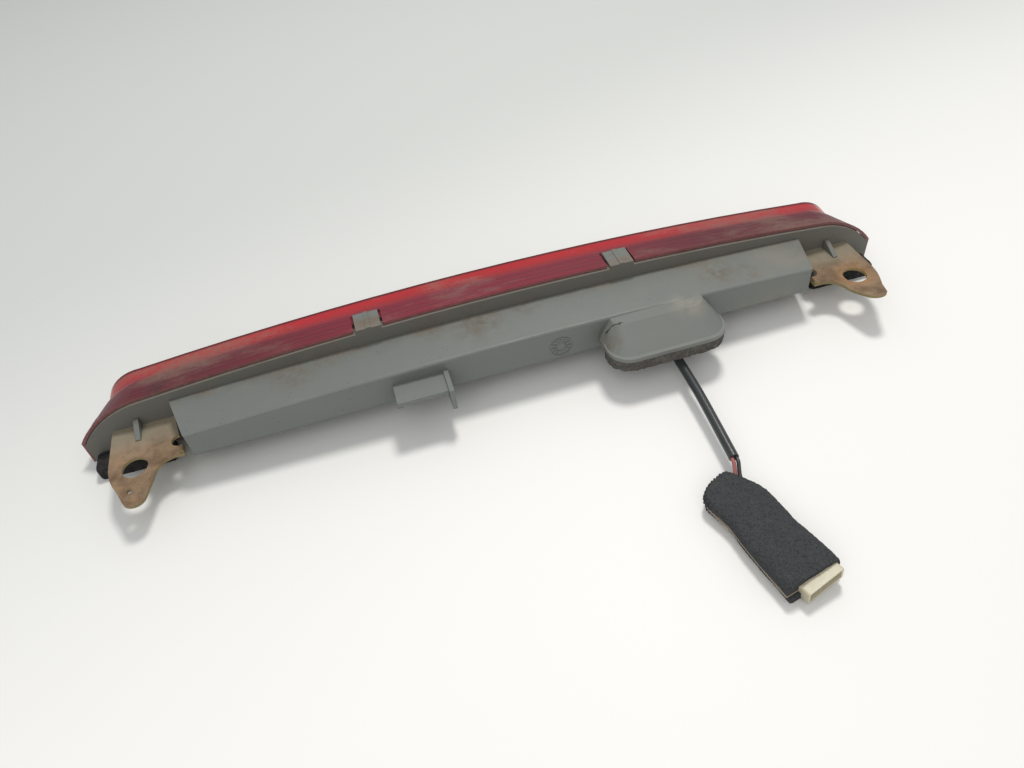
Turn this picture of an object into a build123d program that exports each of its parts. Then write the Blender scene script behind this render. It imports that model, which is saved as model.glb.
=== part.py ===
"""Third brake light: a long red lens on a grey housing, two steel brackets and a short lead."""
from build123d import *
import os
from math import cos, pi, radians, sin, tan

# The lamp lies along X, lights towards +Y and stands on Z = 0.
# The origin is the middle of the footprint of the lamp without its lead.
# "Depth" is measured along +Y from the lens's rear edge, so what lies behind has a negative depth.

# ---- driving dimensions, millimetres ----
HALF_LENGTH = 205.0          # half the lens's length
LENS_DEPTH = 24.3            # rear edge to front face
REAR_EDGE_Y = 13.1           # Y of the lens's rear edge
CROWN_Z = 40.0               # top of the lens at mid length
TOP_RADIUS = 1750.0          # arch of the top edge
SHOULDER_X = 176.0           # where the arch turns down towards the tip
KNEE = (191.0, 25.6)         # middle of the turn
TIP_Z = 13.0                 # top of the short upright end

LENS_WALL = 2.1
LIP_WALL = 1.5               # lens wall around the flange
SKIRT_DEPTH = 14.0
SKIRT_INSET = 1.0            # draft of the skirt: all round, then the ends and their shoulders
SKIRT_TAPER = 5.0
BODY_INSET = 1.8
BODY_TAPER = 8.0
BODY_LIFT = 1.5
FRONT_TAPER = 10.0
FRONT_LIFT = 3.8
SHOULDER_DEPTH = 6.6         # inner shoulder that presses on the seal
FRONT_EDGE = 0.9             # bevel around the front face

FIT_GAP = 0.3
FLANGE_DEPTH = -1.5          # rear face of the housing's flange
FLANGE_THICK = 2.0
RIM_WIDTH = 2.0
FLANGE_FRONT = 3.5           # front of the flange's rim, where the seal starts
SEAL_WIDTH = 2.2

BOX_WALL = 2.2
BOX_BOTTOM_Z = 12.5
BOX_BACK_DEPTH = -27.0
BOX_FRONT_HALF = 159.5
BOX_BACK_HALF = 152.8
BOX_FRONT_CROWN = 31.3
BOX_BACK_CROWN = 30.4
BOX_TOP_RADIUS = 2950.0
BOX_EDGE_RADIUS = 1.4

SNAP_X = 63.0
SNAP_WIDTH = 12.0
SNAP_THICK = 1.5
SNAP_REACH = 10.8
SNAP_PROUD = 0.2             # how far the arm stands above the skirt
SNAP_RIDGE = 1.0             # half width of the ridge along the arm
NOTCH_GAP = 1.2              # room beside the arm in the lens's notch
NOTCH_CLEAR = 0.6            # room below the arm
NOTCH_REACH = 11.6

LUG_X = -46.0
LUG_WIDTH = 26.0
LUG_REACH = 13.0
LUG_TOP_Z = 24.0
LUG_WALL = 2.2
LUG_RIB_REACH = 15.0

BOSS_X = 69.8
BOSS_LENGTH = 59.0
BOSS_NEAR_DEPTH = -27.3
BOSS_FAR_DEPTH = -49.7
BOSS_END_RADIUS = 11.1
BOSS_BASE_Z = 19.8
# Height, half length, far depth and corner radius of the boss's sections.
BOSS_SECTIONS = [(20.8, 29.5, -49.7, 11.1), (29.2, 23.0, -33.0, 5.0)]
BOSS_HOLLOW = [(21.8, 25.2, -45.0, 6.0), (27.2, 20.4, -33.2, 3.5)]
BOSS_ROOT_DEPTH = -20.0      # where the boss starts inside the box
BOSS_WALL = 2.0

GASKET_THICK = 6.0
OUTLET_X = 73.2
OUTLET_DEPTH = -38.0
OUTLET_RADIUS = 6.2
GASKET_HOLE_RADIUS = 8.0
GROMMET_CROWN_RADIUS = 4.2

PLATE_TOP_Z = 16.8
PLATE_THICK = 1.5
HOLE_X = 177.2
HOLE_DEPTH = -28.2
HOLE_RADIUS = 5.75
DIMPLE_X = 178.8
DIMPLE_DEPTH = -41.7
DIMPLE_RADIUS = 1.25
TONGUE_TIP_DEPTH = -50.5
BEND_DEPTH = -36.0           # the right tongue is bent up from here
BEND_RISE = 4.2              # at its tip
TAB_X = (155.6, 156.9)       # small tab turned up at the end of the inner arm
TAB_DEPTH = (-27.0, -23.4)
TAB_TOP_Z = 18.6

SHELF_INNER_X = 166.0
SHELF_OUTER_X = 187.0
SHELF_REACH = 12.0
SHELF_THICK = 2.4
GUSSET_X = 176.5
GUSSET_THICK = 2.3
GUSSET_TOP_Z = 21.6
PAD_HEIGHT = 7.0
PAD_INNER_X = 165.0
PAD_OUTER_X = 200.5
PAD_FAR_DEPTH = -14.0

LED_COUNT = 16
LED_PITCH = 18.0
BOARD_DEPTH = -1.6           # rear face of the board
BOARD_THICK = 1.6
BOARD_HALF = 142.0
BOARD_BOTTOM_Z = 15.2
BOARD_TOP_Z = 24.2
LED_Z = 19.7
LED_SIDE = 4.4
LED_HEIGHT = 1.4
LED_DOME_RADIUS = 1.35
POST_X = 126.0
POST_RADIUS = 3.2
WHEEL = (22.0, 20.0)         # mould mark on the back face
WHEEL_RADIUS = 5.6
WHEEL_HEIGHT = 0.35
SCREW_RADIUS = 1.2
SCREW_LENGTH = 9.0
SCREW_HEAD_RADIUS = 2.4
SCREW_HEAD_HEIGHT = 1.3
REFLECTOR_BACK = 0.2
REFLECTOR_DEPTH = 12.0
REFLECTOR_HALF = 149.0
REFLECTOR_NECK_Z = (15.2, 24.0)
REFLECTOR_NECK_DEPTH = 4.2
REFLECTOR_FACE_Z = (10.5, 28.0)
CUP_SIZE = (16.2, 14.6)
CUP_TAPER = 20

SLEEVE_DIAMETER = 4.5
WIRE_DIAMETER = 1.7
WIRE_SPREAD = 1.0            # half the distance between the two wires

# Free lead, from the outlet down and back along the table: (X, depth, Z), chosen by hand.
LEAD_ROUTE = [
    (73.2, -37.0, 20.0),
    (73.2, -37.8, 12.6),
    (73.7, -43.6, 10.3),
    (73.9, -52.0, 9.8),
    (73.6, -67.0, 9.6),
    (72.6, -85.0, 9.0),
    (71.1, -107.3, 8.3),
]

WRAP_END = (72.05, -167.6)   # X and depth of the middle of the foam wrap's open end
WRAP_TURN = 11.2             # degrees that the wrap is turned from the lamp's depth
WRAP_THICK = 12.0
LOWER_TOP = 4.4              # top of the lower foam layer
ADHESIVE_THICK = 0.3
WRAP_END_HALF = 12.4
WRAP_LENGTH = 55.0
PLUG_CENTRE = (1.9, 5.8)     # middle of the connector: across the wrap and above the table
PLUG_SIZE = (17.5, 7.2)
PLUG_Y = (-4.0, 16.5)        # along the wrap, from its open end
PLUG_YAW = 5.0               # the connector sits a little askew in the wrap
PLUG_ROLL = -8.0
PLUG_WALL = 1.0
PLUG_CORNER = 0.9
PLUG_MOUTH = 11.0
PIN_REACH = 5.0              # how far the pins stand into the mouth
WIRE_SEAT = 3.0              # how far the wires go into the connector's back
PIN_PITCH = 6.0
PIN_SECTION = (1.6, 0.8)
WIRE_Z = 5.7                 # height of the wires inside the wrap
CHANNEL_Z = (3.6, 7.4)

parts = {}


def section(depth):
    """Upright plane across the lamp's depth; X along the lamp, Y up, normal to the rear."""
    return Plane.XZ.offset(-(REAR_EDGE_Y + depth))


def level(z):
    """Level plane with its origin on the lens's rear edge line."""
    return Plane.XY.offset(z).shift_origin((0, REAR_EDGE_Y, z))


def arch(x, crown, radius):
    """Height of a shallow arch at x."""
    return crown - (radius - (radius**2 - x**2) ** 0.5)


def lamp_outline(inset=0.0, taper=0.0, lift=0.0):
    """The lamp seen from behind: flat bottom, short upright ends, a turned shoulder and an arched top.

    The taper draws the ends in, and the lift raises the middle of the shoulder again.
    """
    end = HALF_LENGTH - inset - taper
    shoulder = SHOULDER_X - 0.3 * taper
    shoulder_z = arch(shoulder, CROWN_Z, TOP_RADIUS) - inset
    knee = (KNEE[0] - 0.45 * (inset + taper), KNEE[1] - 0.9 * inset - 0.25 * taper + lift)
    tip_z = TIP_Z - 0.4 * inset - 0.07 * taper
    with BuildSketch(mode=Mode.PRIVATE) as outline:
        with BuildLine():
            Polyline((-end, tip_z), (-end, inset), (end, inset), (end, tip_z))
            ThreePointArc((end, tip_z), knee, (shoulder, shoulder_z))
            ThreePointArc((shoulder, shoulder_z), (0, CROWN_Z - inset), (-shoulder, shoulder_z))
            ThreePointArc((-shoulder, shoulder_z), (-knee[0], knee[1]), (-end, tip_z))
        make_face()
    return outline.sketch


def box_outline(half, crown, inset=0.0):
    """Section of the housing's rear box: flat bottom, upright ends, arched top."""
    half_in = half - inset
    side_z = arch(half, crown, BOX_TOP_RADIUS) - inset
    with BuildSketch(mode=Mode.PRIVATE) as outline:
        with BuildLine():
            bottom = BOX_BOTTOM_Z + inset
            Polyline((-half_in, side_z), (-half_in, bottom), (half_in, bottom), (half_in, side_z))
            ThreePointArc((half_in, side_z), (0, crown - inset), (-half_in, side_z))
        make_face()
    return outline.sketch


def rounded_bar(x_min, x_max, near, far, radius):
    """Plan outline between two depths with all four corners rounded."""
    with BuildSketch(mode=Mode.PRIVATE) as outline:
        with Locations(((x_min + x_max) / 2, (near + far) / 2)):
            RectangleRounded(x_max - x_min, near - far, radius)
    return outline.sketch


def slab(x, depth, z):
    """Plain block between two values on each axis, made outside any builder."""
    block = Box(x[1] - x[0], depth[1] - depth[0], z[1] - z[0], align=Align.MIN, mode=Mode.PRIVATE)
    return Pos(x[0], REAR_EDGE_Y + depth[0], z[0]) * block


def keep(name, builder):
    """Label a finished piece and remember it for export."""
    builder.part.label = name
    parts[name] = builder.part


# ---- lens ----
SNAP_CENTRES = (-SNAP_X, SNAP_X)
HALF_NOTCH = SNAP_WIDTH / 2 + NOTCH_GAP

with BuildPart() as lens:
    with BuildSketch(section(0)):
        add(lamp_outline())
    with BuildSketch(section(SKIRT_DEPTH)):
        add(lamp_outline(SKIRT_INSET, SKIRT_TAPER))
    loft()
    with BuildSketch(section(SKIRT_DEPTH)):
        add(lamp_outline(BODY_INSET, BODY_TAPER, BODY_LIFT))
    with BuildSketch(section(LENS_DEPTH - FRONT_EDGE)):
        add(lamp_outline(BODY_INSET, FRONT_TAPER, FRONT_LIFT))
    loft()
    with BuildSketch(section(LENS_DEPTH - FRONT_EDGE)):
        add(lamp_outline(BODY_INSET, FRONT_TAPER, FRONT_LIFT))
    with BuildSketch(section(LENS_DEPTH)):
        add(lamp_outline(BODY_INSET + FRONT_EDGE, FRONT_TAPER, FRONT_LIFT))
    loft()

with BuildPart() as lens_hollow:
    with BuildSketch(section(-1.0)):
        add(lamp_outline(LIP_WALL))
    extrude(amount=-(SHOULDER_DEPTH + 1.0))
    wall = BODY_INSET + LENS_WALL
    with BuildSketch(section(SHOULDER_DEPTH)):
        add(lamp_outline(wall, BODY_TAPER, BODY_LIFT))
    with BuildSketch(section(LENS_DEPTH - LENS_WALL)):
        add(lamp_outline(wall, FRONT_TAPER, FRONT_LIFT))
    loft()


def skirt_top(x):
    """Top of the lens's rear edge."""
    return arch(abs(x), CROWN_Z, TOP_RADIUS)


with lens:
    add(lens_hollow.part, mode=Mode.SUBTRACT)
    # A notch in the skirt for each of the housing's snap arms.
    for centre in SNAP_CENTRES:
        floor = skirt_top(centre) + SNAP_PROUD - SNAP_THICK - NOTCH_CLEAR
        add(slab((centre - HALF_NOTCH, centre + HALF_NOTCH), (-1.0, NOTCH_REACH), (floor, CROWN_Z + 1.0)),
            mode=Mode.SUBTRACT)
keep("lens", lens)

# ---- seal between the lens's inner shoulder and the rim of the housing's flange ----
FLANGE_INSET = LIP_WALL + FIT_GAP

with BuildPart() as lens_seal:
    with BuildSketch(section(FLANGE_FRONT)):
        add(lamp_outline(FLANGE_INSET))
        add(lamp_outline(FLANGE_INSET + SEAL_WIDTH), mode=Mode.SUBTRACT)
    extrude(amount=-(SHOULDER_DEPTH - FLANGE_FRONT))
    for centre in SNAP_CENTRES:
        floor = skirt_top(centre) + SNAP_PROUD - SNAP_THICK - NOTCH_CLEAR
        add(slab((centre - HALF_NOTCH, centre + HALF_NOTCH), (0.0, NOTCH_REACH), (floor, CROWN_Z + 1.0)),
            mode=Mode.SUBTRACT)
keep("lens_seal", lens_seal)

# ---- housing ----
POST_POINTS = [(-POST_X, LED_Z), (0, LED_Z), (POST_X, LED_Z)]
FLANGE_PLATE_FRONT = FLANGE_DEPTH + FLANGE_THICK

with BuildPart() as housing:
    with BuildSketch(section(FLANGE_DEPTH)):
        add(lamp_outline(FLANGE_INSET))
    extrude(amount=-FLANGE_THICK)
    with BuildSketch(section(FLANGE_PLATE_FRONT)):
        add(lamp_outline(FLANGE_INSET))
        add(lamp_outline(FLANGE_INSET + RIM_WIDTH), mode=Mode.SUBTRACT)
    extrude(amount=FLANGE_PLATE_FRONT - FLANGE_FRONT)
    with BuildSketch(section(FLANGE_DEPTH)):
        add(box_outline(BOX_FRONT_HALF, BOX_FRONT_CROWN))
    with BuildSketch(section(BOX_BACK_DEPTH)):
        add(box_outline(BOX_BACK_HALF, BOX_BACK_CROWN))
    loft()
    back_face = housing.faces().filter_by(Axis.Y).sort_by(Axis.Y)[0]
    fillet(back_face.outer_wire().edges(), BOX_EDGE_RADIUS)


def boss_bar(half, far, radius, near=BOSS_ROOT_DEPTH):
    """Rounded outline of the boss in plan."""
    return rounded_bar(BOSS_X - half, BOSS_X + half, near, far, radius)


# Cable boss: a slotted base behind the box, rising in a flat slope to the box's top.
half_boss = BOSS_LENGTH / 2

with BuildPart() as boss:
    with BuildSketch(level(BOSS_BASE_Z)):
        add(boss_bar(half_boss, BOSS_FAR_DEPTH, BOSS_END_RADIUS, BOSS_NEAR_DEPTH))
    extrude(amount=BOSS_WALL)
    for z, half, far, radius in BOSS_SECTIONS:
        with BuildSketch(level(z)):
            add(boss_bar(half, far, radius))
    loft()

with BuildPart() as boss_hollow:
    for z, half, far, radius in BOSS_HOLLOW:
        with BuildSketch(level(z)):
            add(boss_bar(half, far, radius, BOSS_ROOT_DEPTH - BOSS_WALL))
    loft()

with BuildPart() as box_hollow:
    with BuildSketch(section(FLANGE_FRONT + 1.0)):
        add(box_outline(BOX_FRONT_HALF, BOX_FRONT_CROWN, BOX_WALL))
    with BuildSketch(section(BOX_BACK_DEPTH + BOX_WALL)):
        add(box_outline(BOX_BACK_HALF, BOX_BACK_CROWN, BOX_WALL))
    loft()


def shelf(side):
    """Bracket shelf, its two ribs down to the pad and the gusset above it, at one end."""
    inner, outer = sorted((side * SHELF_INNER_X, side * SHELF_OUTER_X))
    plate_bottom = PLATE_TOP_Z - PLATE_THICK
    root = FLANGE_DEPTH + 0.5
    span = (-SHELF_REACH, root)
    add(slab((inner, outer), span, (plate_bottom - SHELF_THICK, plate_bottom)))
    for rib_x in (inner, outer - SHELF_THICK):
        add(slab((rib_x, rib_x + SHELF_THICK), span, (PAD_HEIGHT, plate_bottom)))
    left = side * GUSSET_X - GUSSET_THICK / 2
    with BuildPart(mode=Mode.PRIVATE) as gusset:
        with BuildSketch(Plane.YZ.offset(left).shift_origin((left, REAR_EDGE_Y, 0))):
            Polygon((root, PLATE_TOP_Z), (root, GUSSET_TOP_Z), (FLANGE_DEPTH - 1.6, GUSSET_TOP_Z),
                    (-SHELF_REACH, PLATE_TOP_Z + 0.6), (-SHELF_REACH, PLATE_TOP_Z), align=None)
        extrude(amount=GUSSET_THICK)
    add(gusset.part)


def snap_arm(centre):
    """Arm that reaches from the flange's rim forward in the notch of the lens's skirt."""
    half = SNAP_WIDTH / 2
    arm_top = skirt_top(centre) + SNAP_PROUD
    rim_top = skirt_top(abs(centre) + half) - FLANGE_INSET
    across_arm = (centre - half, centre + half)
    add(slab(across_arm, (FLANGE_DEPTH, FLANGE_FRONT), (rim_top - RIM_WIDTH, arm_top)))
    add(slab(across_arm, (FLANGE_DEPTH, SNAP_REACH), (arm_top - SNAP_THICK, arm_top)))
    ridge = (centre - SNAP_RIDGE, centre + SNAP_RIDGE)
    add(slab(ridge, (FLANGE_DEPTH, SNAP_REACH), (arm_top - 0.2, arm_top + 0.4)))


def lug():
    """Hollow locating lug on the back face: a top plate, a short side and a longer rib."""
    left = LUG_X - LUG_WIDTH / 2
    right = LUG_X + LUG_WIDTH / 2
    back = BOX_BACK_DEPTH + 1.0
    far = BOX_BACK_DEPTH - LUG_REACH
    add(slab((left, right), (far, back), (LUG_TOP_Z - LUG_WALL, LUG_TOP_Z)))
    add(slab((left, left + LUG_WALL), (far + LUG_REACH / 2, back), (BOX_BOTTOM_Z + 2.0, LUG_TOP_Z)))
    add(slab((right - LUG_WALL, right), (BOX_BACK_DEPTH - LUG_RIB_REACH, back),
             (BOX_BOTTOM_Z + 1.0, LUG_TOP_Z + 1.2)))


with housing:
    add(boss.part)
    add(box_hollow.part, mode=Mode.SUBTRACT)
    add(boss_hollow.part, mode=Mode.SUBTRACT)
    with BuildSketch(level(BOSS_BASE_Z - 1.0)):
        with Locations((OUTLET_X, OUTLET_DEPTH)):
            Circle(OUTLET_RADIUS)
    extrude(amount=BOSS_WALL + 1.2, mode=Mode.SUBTRACT)
    shelf(-1)
    shelf(1)
    for centre in SNAP_CENTRES:
        snap_arm(centre)
    lug()
    # Raised mould mark on the back face: a ring and short ticks.
    with BuildSketch(section(BOX_BACK_DEPTH + 0.5)):
        with Locations(WHEEL):
            Circle(WHEEL_RADIUS)
            Circle(WHEEL_RADIUS - 0.5, mode=Mode.SUBTRACT)
            with PolarLocations(0.6 * WHEEL_RADIUS, 12):
                Rectangle(0.45 * WHEEL_RADIUS, 0.5)
    extrude(amount=0.5 + WHEEL_HEIGHT)
    # Posts for the board, each with a pilot hole.
    with BuildSketch(section(BOX_BACK_DEPTH + 1.0)):
        with Locations(*POST_POINTS):
            Circle(POST_RADIUS)
    extrude(amount=-(BOARD_DEPTH - BOX_BACK_DEPTH - 1.0))
    with BuildSketch(section(BOARD_DEPTH)):
        with Locations(*POST_POINTS):
            Circle(SCREW_RADIUS)
    extrude(amount=SCREW_LENGTH, mode=Mode.SUBTRACT)
keep("housing", housing)

# ---- light unit ----
LED_XS = [(i - (LED_COUNT - 1) / 2) * LED_PITCH for i in range(LED_COUNT)]
BOARD_FRONT = BOARD_DEPTH + BOARD_THICK
HEADER_X = 72.0
HEADER_SIZE = (9.0, 5.0, 6.0)

with BuildPart() as led_board:
    with BuildSketch(section(BOARD_DEPTH)):
        with Locations((0, (BOARD_BOTTOM_Z + BOARD_TOP_Z) / 2)):
            RectangleRounded(2 * BOARD_HALF, BOARD_TOP_Z - BOARD_BOTTOM_Z, 1.5)
        with Locations(*POST_POINTS):
            Circle(SCREW_RADIUS + 0.1, mode=Mode.SUBTRACT)
    extrude(amount=-BOARD_THICK)
keep("led_board", led_board)

with BuildPart() as leds:
    with BuildSketch(section(BOARD_FRONT)):
        with Locations(*[(x, LED_Z) for x in LED_XS]):
            RectangleRounded(LED_SIDE, LED_SIDE, 0.6)
    extrude(amount=-LED_HEIGHT)
    with Locations(*[(x, REAR_EDGE_Y + BOARD_FRONT + LED_HEIGHT, LED_Z) for x in LED_XS]):
        Sphere(LED_DOME_RADIUS)
keep("leds", leds)

with BuildPart() as resistors:
    with BuildSketch(section(BOARD_DEPTH)):
        with Locations(*[(x + 4.0, LED_Z - 2.5) for x in LED_XS[::2]]):
            Rectangle(3.2, 1.6)
    extrude(amount=0.6)
keep("resistors", resistors)

with BuildPart() as protection_diode:
    with BuildSketch(section(BOARD_DEPTH)):
        with Locations((HEADER_X - 14.0, LED_Z)):
            Rectangle(4.6, 2.8)
    extrude(amount=2.2)
    chamfer(protection_diode.faces().sort_by(Axis.Y)[0].edges(), 0.3)
keep("protection_diode", protection_diode)

with BuildPart() as board_header:
    with BuildSketch(section(BOARD_DEPTH)):
        with Locations((HEADER_X, LED_Z)):
            Rectangle(HEADER_SIZE[0], HEADER_SIZE[2])
    extrude(amount=HEADER_SIZE[1])
    fillet(board_header.edges().filter_by(Axis.Y), 0.5)
keep("board_header", board_header)

with BuildPart() as board_screws:
    with BuildSketch(section(BOARD_DEPTH + BOARD_THICK)):
        with Locations(*POST_POINTS):
            Circle(SCREW_RADIUS)
    extrude(amount=SCREW_LENGTH)
    with BuildSketch(section(BOARD_FRONT)):
        with Locations(*POST_POINTS):
            Circle(SCREW_HEAD_RADIUS)
    extrude(amount=-SCREW_HEAD_HEIGHT)
    fillet(board_screws.faces().sort_by(Axis.Y)[-3:].edges(), 0.5)
keep("board_screws", board_screws)

with BuildPart() as reflector:
    for start, end, (low, high) in (
        (REFLECTOR_BACK, REFLECTOR_NECK_DEPTH, REFLECTOR_NECK_Z),
        (REFLECTOR_NECK_DEPTH, REFLECTOR_DEPTH, REFLECTOR_FACE_Z),
    ):
        with BuildSketch(section(start)):
            with Locations((0, (low + high) / 2)):
                RectangleRounded(2 * REFLECTOR_HALF, high - low, 2.0)
        extrude(amount=start - end)
    with BuildSketch(section(REFLECTOR_DEPTH + 0.5)):
        with Locations(*[(x, LED_Z) for x in LED_XS]):
            RectangleRounded(*CUP_SIZE, 4.0)
    extrude(amount=REFLECTOR_DEPTH + 1.0, taper=CUP_TAPER, mode=Mode.SUBTRACT)
    with BuildSketch(section(BOARD_FRONT)):
        with Locations(*[(x, LED_Z) for x in LED_XS]):
            RectangleRounded(LED_SIDE + 1.0, LED_SIDE + 1.0, 0.8)
    extrude(amount=-4.0, mode=Mode.SUBTRACT)
    with BuildSketch(section(BOARD_FRONT)):
        with Locations(*POST_POINTS):
            Circle(SCREW_HEAD_RADIUS + 0.6)
    extrude(amount=-2.0, mode=Mode.SUBTRACT)
keep("reflector", reflector)

# ---- cable outlet ----
with BuildPart() as cable_gasket:
    with BuildSketch(level(BOSS_BASE_Z - GASKET_THICK)):
        add(boss_bar(half_boss, BOSS_FAR_DEPTH, BOSS_END_RADIUS, BOSS_NEAR_DEPTH))
        with Locations((OUTLET_X, OUTLET_DEPTH)):
            Circle(GASKET_HOLE_RADIUS, mode=Mode.SUBTRACT)
    extrude(amount=GASKET_THICK)
keep("cable_gasket", cable_gasket)

with BuildPart() as cable_grommet:
    lip = 1.2
    with BuildSketch(level(BOSS_BASE_Z - lip)):
        with Locations((OUTLET_X, OUTLET_DEPTH)):
            Circle(GASKET_HOLE_RADIUS - 0.2)
    extrude(amount=lip)
    with BuildSketch(level(BOSS_BASE_Z)):
        with Locations((OUTLET_X, OUTLET_DEPTH)):
            Circle(OUTLET_RADIUS)
    extrude(amount=BOSS_WALL)
    with BuildSketch(level(BOSS_BASE_Z + BOSS_WALL)):
        with Locations((OUTLET_X, OUTLET_DEPTH)):
            Circle(GROMMET_CROWN_RADIUS)
    extrude(amount=lip)

# ---- steel brackets ----
def tongue_profile(rise):
    """Side view of a bracket as a bar across all of X; with a rise its tongue is bent up."""
    low, high = PLATE_TOP_Z - PLATE_THICK, PLATE_TOP_Z
    curve = BEND_DEPTH + 0.3 * (TONGUE_TIP_DEPTH - BEND_DEPTH)
    end = TONGUE_TIP_DEPTH - 1.0
    with BuildPart(mode=Mode.PRIVATE) as bar:
        with BuildSketch(Plane.YZ.offset(-HALF_LENGTH).shift_origin((-HALF_LENGTH, REAR_EDGE_Y, 0))):
            Polygon((FLANGE_DEPTH, low), (FLANGE_DEPTH, high), (BEND_DEPTH, high), (curve, high + 0.2 * rise),
                    (end, high + rise), (end, low + rise), (curve, low + 0.2 * rise), (BEND_DEPTH, low),
                    align=None)
        extrude(amount=2 * HALF_LENGTH)
    return bar.part


def bracket(side):
    """Flat steel bracket: a straight root at the flange, a tongue with a round tip and an inner arm."""
    with BuildPart() as plate:
        with BuildSketch(level(PLATE_TOP_Z - 2 * PLATE_THICK)):
            with BuildLine():
                Polyline((160.6, FLANGE_DEPTH), (189.0, FLANGE_DEPTH), (189.0, -24.0))
                ThreePointArc((189.0, -24.0), (187.9, -32.0), (184.6, -39.6))
                Line((184.6, -39.6), (181.5, -46.8))
                ThreePointArc((181.5, -46.8), (176.6, TONGUE_TIP_DEPTH), (171.6, -47.0))
                Line((171.6, -47.0), (168.6, -36.5))
                ThreePointArc((168.6, -36.5), (165.6, -30.0), (160.0, -27.4))
                Polyline((160.0, -27.4), (155.6, -27.4), (155.6, -23.0), (158.6, -21.6))
                ThreePointArc((158.6, -21.6), (161.6, -18.6), (158.2, -15.2))
                Line((158.2, -15.2), (160.6, FLANGE_DEPTH))
            make_face()
            with Locations((HOLE_X, HOLE_DEPTH)):
                Circle(HOLE_RADIUS, mode=Mode.SUBTRACT)
        extrude(amount=CROWN_Z - PLATE_TOP_Z)
        add(tongue_profile(BEND_RISE if side > 0 else 0.0), mode=Mode.INTERSECT)
        add(slab(TAB_X, TAB_DEPTH, (PLATE_TOP_Z - 0.5, TAB_TOP_Z)))
        if side < 0:
            with BuildSketch(level(PLATE_TOP_Z - 2 * PLATE_THICK)):
                with Locations((DIMPLE_X, DIMPLE_DEPTH)):
                    Circle(DIMPLE_RADIUS)
            extrude(amount=3 * PLATE_THICK, mode=Mode.SUBTRACT)
    if side > 0:
        return plate
    with BuildPart() as mirrored:
        mirror(plate.part, about=Plane.YZ)
    return mirrored


keep("bracket_left", bracket(-1))
keep("bracket_right", bracket(1))


# ---- end pads ----
def end_pad(side):
    """Rubber pad that the lamp's end stands on."""
    inner, outer = sorted((side * PAD_INNER_X, side * PAD_OUTER_X))
    with BuildPart() as pad:
        with BuildSketch(level(0)):
            add(rounded_bar(inner, outer, FLANGE_DEPTH - FIT_GAP, PAD_FAR_DEPTH, 2.0))
        extrude(amount=PAD_HEIGHT)
        chamfer(pad.faces().sort_by(Axis.Z)[-1].outer_wire().edges(), 0.6)
    return pad


keep("end_pad_left", end_pad(-1))
keep("end_pad_right", end_pad(1))


# ---- lead ----
def place(point):
    """Route point to the part's frame."""
    return Vector(point[0], REAR_EDGE_Y + point[1], point[2])


def arc_radii(points):
    """One radius for each corner: 0.45 of the shorter run over the tangent of half the turn."""
    radii = []
    for before, corner, after in zip(points, points[1:], points[2:]):
        turn = (corner - before).get_angle(after - corner)
        shorter = min((corner - before).length, (after - corner).length)
        radii.append(0.45 * shorter / tan(radians(turn / 2)))
    return radii


def tube(name, points, diameter):
    """Round tube along straight runs joined by tangent arcs."""
    radii = arc_radii(points)
    with BuildPart() as body:
        with BuildLine():
            route = FilletPolyline(*points, radius=radii)
        with BuildSketch(Plane(origin=route @ 0, z_dir=route % 0)):
            Circle(diameter / 2)
        sweep(path=route)
    ratio = body.part.volume / (pi * diameter**2 / 4 * route.length)
    print(name, "length", round(route.length, 1), "radii", [round(r, 1) for r in radii],
          "volume ratio", round(ratio, 4))
    return body


lead_points = [place(p) for p in LEAD_ROUTE]
lead_sleeve = tube("lead_sleeve", lead_points, SLEEVE_DIAMETER)
keep("lead_sleeve", lead_sleeve)

with cable_grommet:
    with BuildSketch(Plane(origin=lead_points[0], z_dir=lead_points[1] - lead_points[0])):
        Circle(SLEEVE_DIAMETER / 2)
    extrude(amount=8.0, mode=Mode.SUBTRACT)
    with BuildSketch(Plane(origin=lead_points[0], x_dir=(1, 0, 0), z_dir=lead_points[0] - lead_points[1])):
        with Locations((-WIRE_SPREAD, 0), (WIRE_SPREAD, 0)):
            Circle(WIRE_DIAMETER / 2)
    extrude(amount=8.0, mode=Mode.SUBTRACT)
keep("cable_grommet", cable_grommet)

# ---- foam wrap and connector: local X across the wrap, local Y from its open end to its root ----
turn = radians(WRAP_TURN)
WRAP = Plane((WRAP_END[0], REAR_EDGE_Y + WRAP_END[1], 0), x_dir=(cos(turn), sin(turn), 0), z_dir=(0, 0, 1))
PLUG = Plane(WRAP.location * Pos(PLUG_CENTRE[0], 0, PLUG_CENTRE[1]) * Rot(0, PLUG_ROLL, PLUG_YAW))
UPPER_BOTTOM = LOWER_TOP + ADHESIVE_THICK


def wrap_outline():
    """Foam wrap from above: a straight open end, a slight waist and a rounded root."""
    with BuildSketch(mode=Mode.PRIVATE) as outline:
        with BuildLine():
            Line((-WRAP_END_HALF, 0), (WRAP_END_HALF, 0))
            ThreePointArc((WRAP_END_HALF, 0), (11.9, 11.5), (11.1, 23.0))
            ThreePointArc((11.1, 23.0), (11.6, 31.5), (11.2, 40.0))
            ThreePointArc((11.2, 40.0), (9.3, 46.5), (5.6, 52.6))
            ThreePointArc((5.6, 52.6), (0.2, WRAP_LENGTH), (-5.8, 53.2))
            ThreePointArc((-5.8, 53.2), (-10.6, 50.4), (-12.6, 45.2))
            ThreePointArc((-12.6, 45.2), (-12.2, 38.0), (-11.4, 32.0))
            ThreePointArc((-11.4, 32.0), (-12.2, 16.0), (-WRAP_END_HALF, 0))
        make_face()
    return outline.sketch


def plug_block(start, end, height=PLUG_SIZE[1], width=PLUG_SIZE[0]):
    """Block on the connector's axes between two distances from the wrap's open end."""
    block = Box(width, end - start, height, mode=Mode.PRIVATE)
    return PLUG.location * Pos(0, (start + end) / 2, 0) * block


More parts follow.
